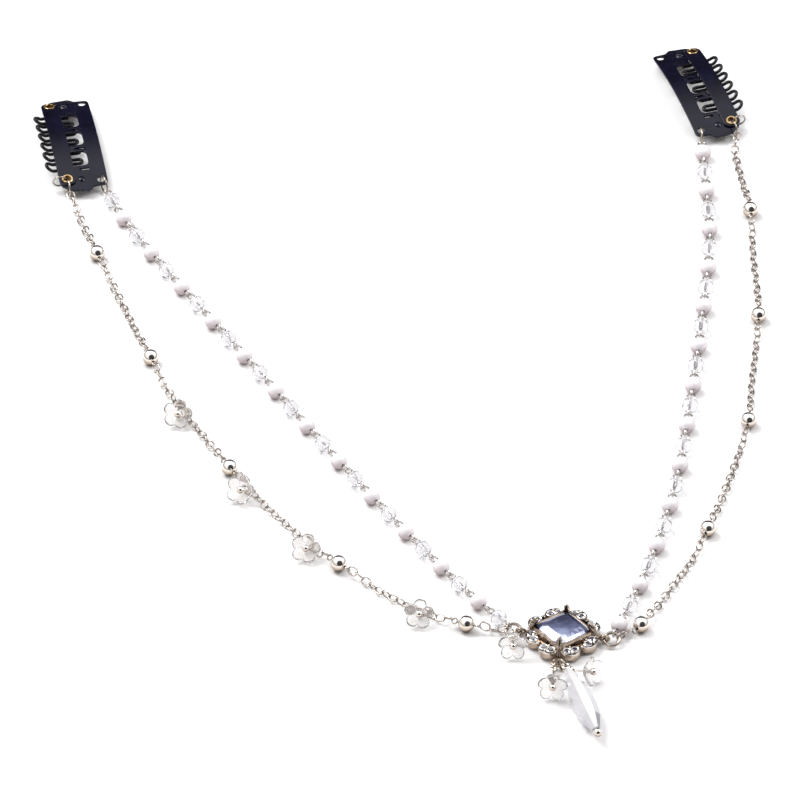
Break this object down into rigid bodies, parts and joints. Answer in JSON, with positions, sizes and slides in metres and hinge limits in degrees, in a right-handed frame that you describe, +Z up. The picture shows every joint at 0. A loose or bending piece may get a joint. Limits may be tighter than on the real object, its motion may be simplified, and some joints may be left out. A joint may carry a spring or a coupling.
{
  "type": "hair chain",
  "caption": "Hair chain with two snap clips, pearl and glass bead strands, outer cable chains with metal balls, small flowers and a square-stone pendant with a crystal drop.",
  "frame": {"origin": "middle of the lying chain's outline, on the surface it lies on", "axes": "+X to the right with the pendant nearest, +Y from the pendant towards the clips, +Z up from the surface"},
  "size_m": [0.1799, 0.2641, 0.0075],
  "materials": {
    "clip_enamel": "glossy near-black enamel",
    "comb_wire": "glossy near-black coated wire",
    "eyelet_brass": "polished",
    "ring_metal": "polished, slightly warm silver",
    "chain_metal": "polished silver links",
    "ball_metal": "mirror-polished silver",
    "pearl": "pale pinkish pearl lustre",
    "cut_glass": "clear cut glass",
    "setting_metal": "polished, warm dark silver",
    "square_stone": "faceted, foiled, ice blue to navy",
    "border_glass": "small clear cut stones",
    "crystal": "clear cut crystal",
    "flower_glass": "clear with a rainbow coat",
    "flower_ring_metal": "polished, warm silver"
  },
  "bodies": {
    "root": {"clip_plate_left": "clip_enamel", "clip_comb_left": "comb_wire", "clip_bar_left": "clip_enamel", "clip_eyelets_left": "eyelet_brass", "chain_ring_left": "ring_metal", "spare_ring_left": "ring_metal", "bead_ring_left": "ring_metal", "pearls_left": "pearl", "glass_beads_left": "cut_glass", "bead_pins_left": "ring_metal", "cable_chain_left": "chain_metal", "chain_balls_left": "ball_metal", "ball_pins_left": "chain_metal", "pendant_ring_left": "ring_metal", "clip_plate_right": "clip_enamel", "clip_comb_right": "comb_wire", "clip_bar_right": "clip_enamel", "clip_eyelets_right": "eyelet_brass", "chain_ring_right": "ring_metal", "spare_ring_right": "ring_metal", "bead_ring_right": "ring_metal", "pearls_right": "pearl", "glass_beads_right": "cut_glass", "bead_pins_right": "ring_metal", "cable_chain_right": "chain_metal", "chain_balls_right": "ball_metal", "ball_pins_right": "chain_metal", "pendant_ring_right": "ring_metal", "pendant_setting": "setting_metal", "pendant_stone": "square_stone", "border_stones": "border_glass", "drop_ring": "ring_metal", "drop_crystal": "crystal", "drop_pin": "ring_metal", "flower_1": "flower_glass", "flower_2": "flower_glass", "flower_3": "flower_glass", "flower_4": "flower_glass", "flower_5": "flower_glass", "flower_6": "flower_glass", "flower_7": "flower_glass", "flower_pins": "ring_metal", "flower_rings": "flower_ring_metal"}
  },
  "joints": []
}
